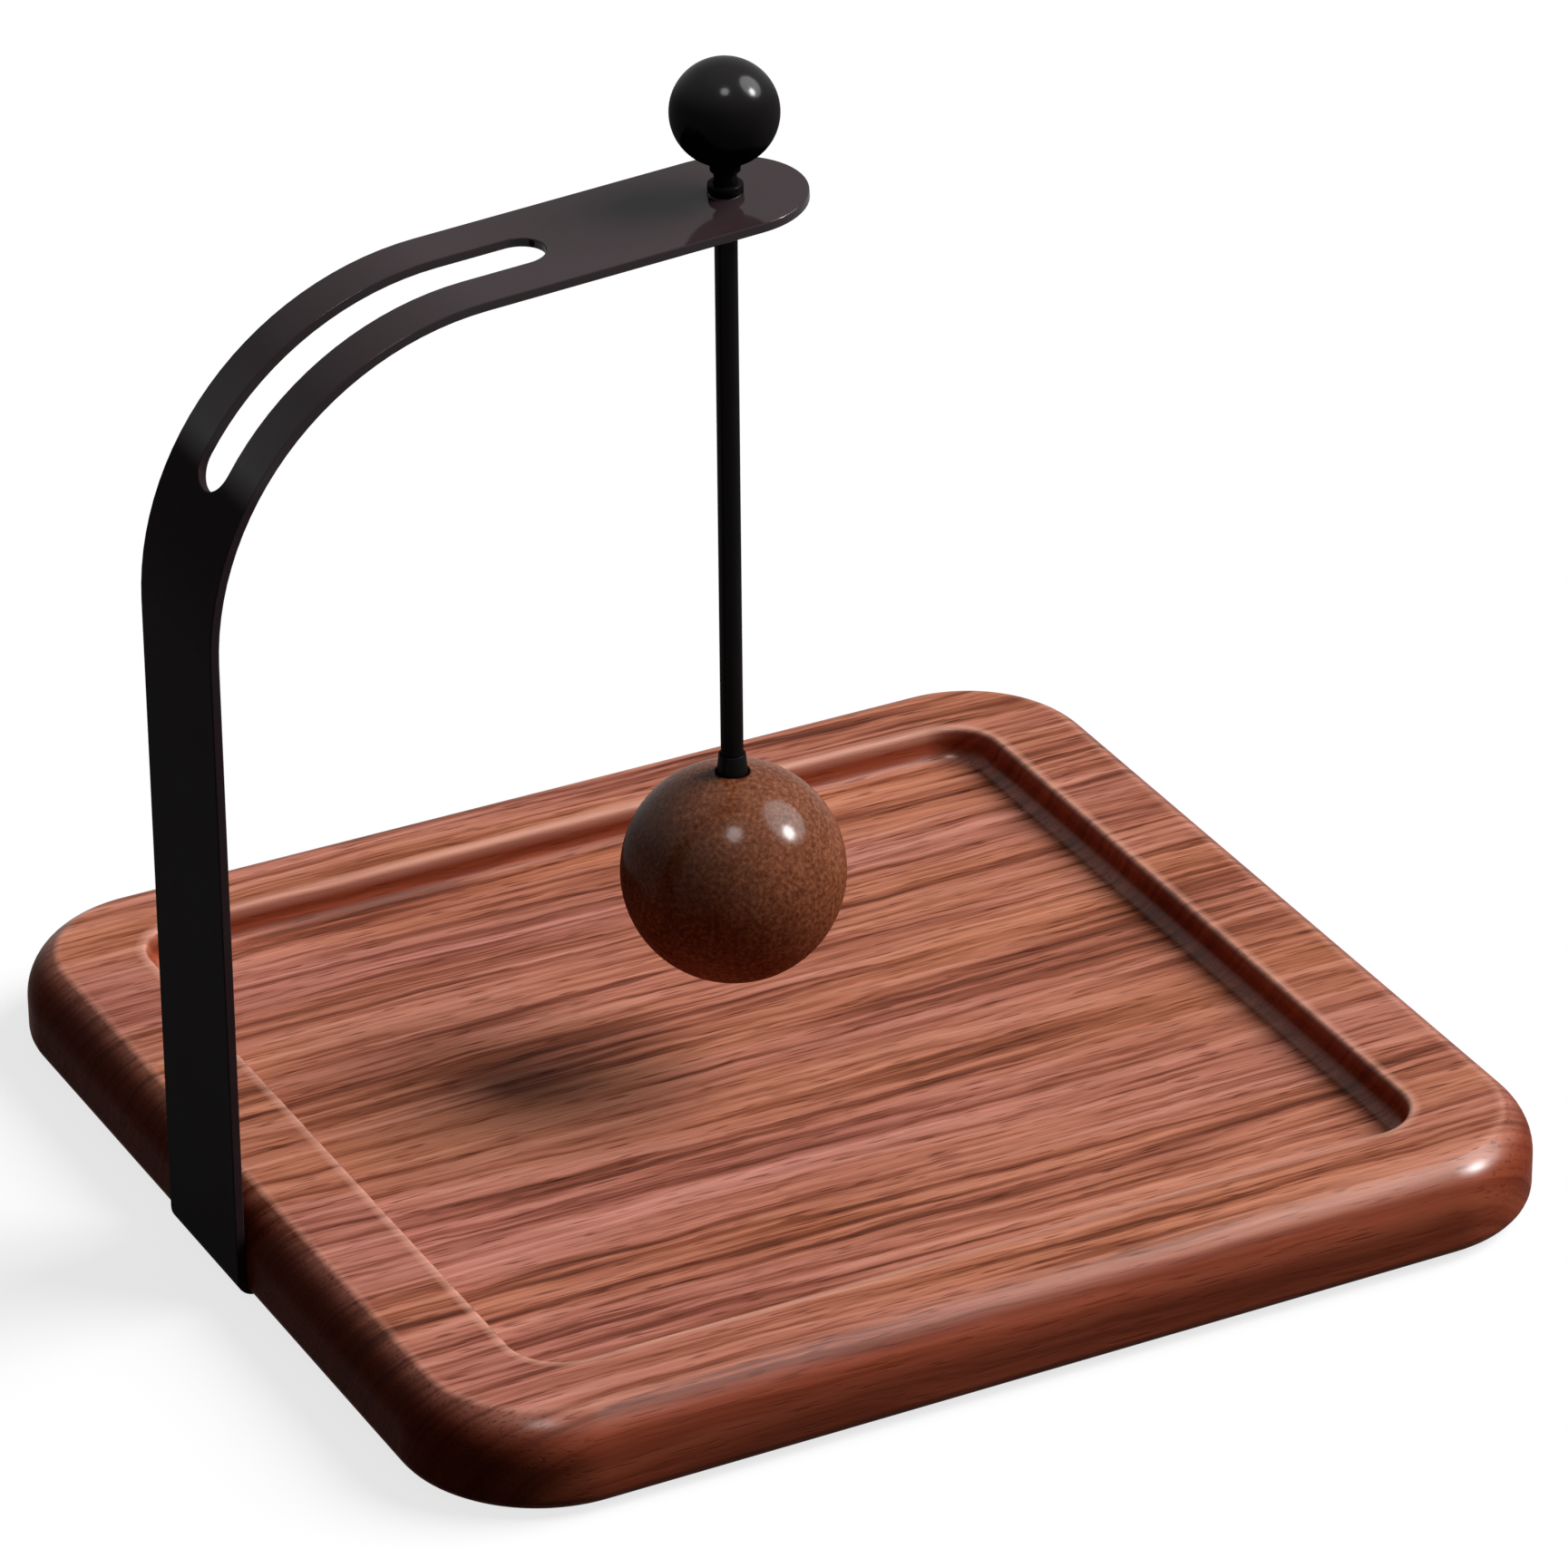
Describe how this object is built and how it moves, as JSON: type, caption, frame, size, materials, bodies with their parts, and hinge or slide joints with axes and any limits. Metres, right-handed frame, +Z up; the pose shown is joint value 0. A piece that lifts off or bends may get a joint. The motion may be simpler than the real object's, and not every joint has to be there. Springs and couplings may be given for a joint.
{
  "type": "napkin holder",
  "caption": "Walnut tray with a shallow recess for folded napkins, and a bent steel arm that guides a ball on a rod, which holds the stack down and lifts by a knob.",
  "frame": {"origin": "on the table, under the middle of the whole holder", "axes": "+X along the reach of the arm, from the post towards the rod, +Z up"},
  "size_m": [0.1914, 0.179, 0.1807],
  "materials": {
    "walnut": "satin oiled walnut with straight grain",
    "gloss_black": "gloss black enamel",
    "black_nylon": "satin",
    "screw_steel": "dark zinc",
    "pad_rubber": "matt",
    "satin_black": "satin black",
    "knob_black": "gloss black enamel",
    "ball_lacquer": "brown gloss lacquer with a fine mottle",
    "brass": "plain turned"
  },
  "bodies": {
    "stand": {"tray": "walnut", "arm": "gloss_black", "guide_bush": "black_nylon", "arm_screw_front": "screw_steel", "arm_screw_back": "screw_steel", "foot_pad_front_left": "pad_rubber", "foot_pad_front_right": "pad_rubber", "foot_pad_back_left": "pad_rubber", "foot_pad_back_right": "pad_rubber"},
    "weight": {"press_rod": "satin_black", "stop_collar": "satin_black", "top_knob": "knob_black", "ball_ferrule": "satin_black", "weight_ball": "ball_lacquer", "ball_insert": "brass"}
  },
  "joints": [
    {"name": "weight_lift", "type": "slide", "parent": "stand", "child": "weight", "axis": [0, 0, 1], "range_m": [0, 0.09]}
  ]
}
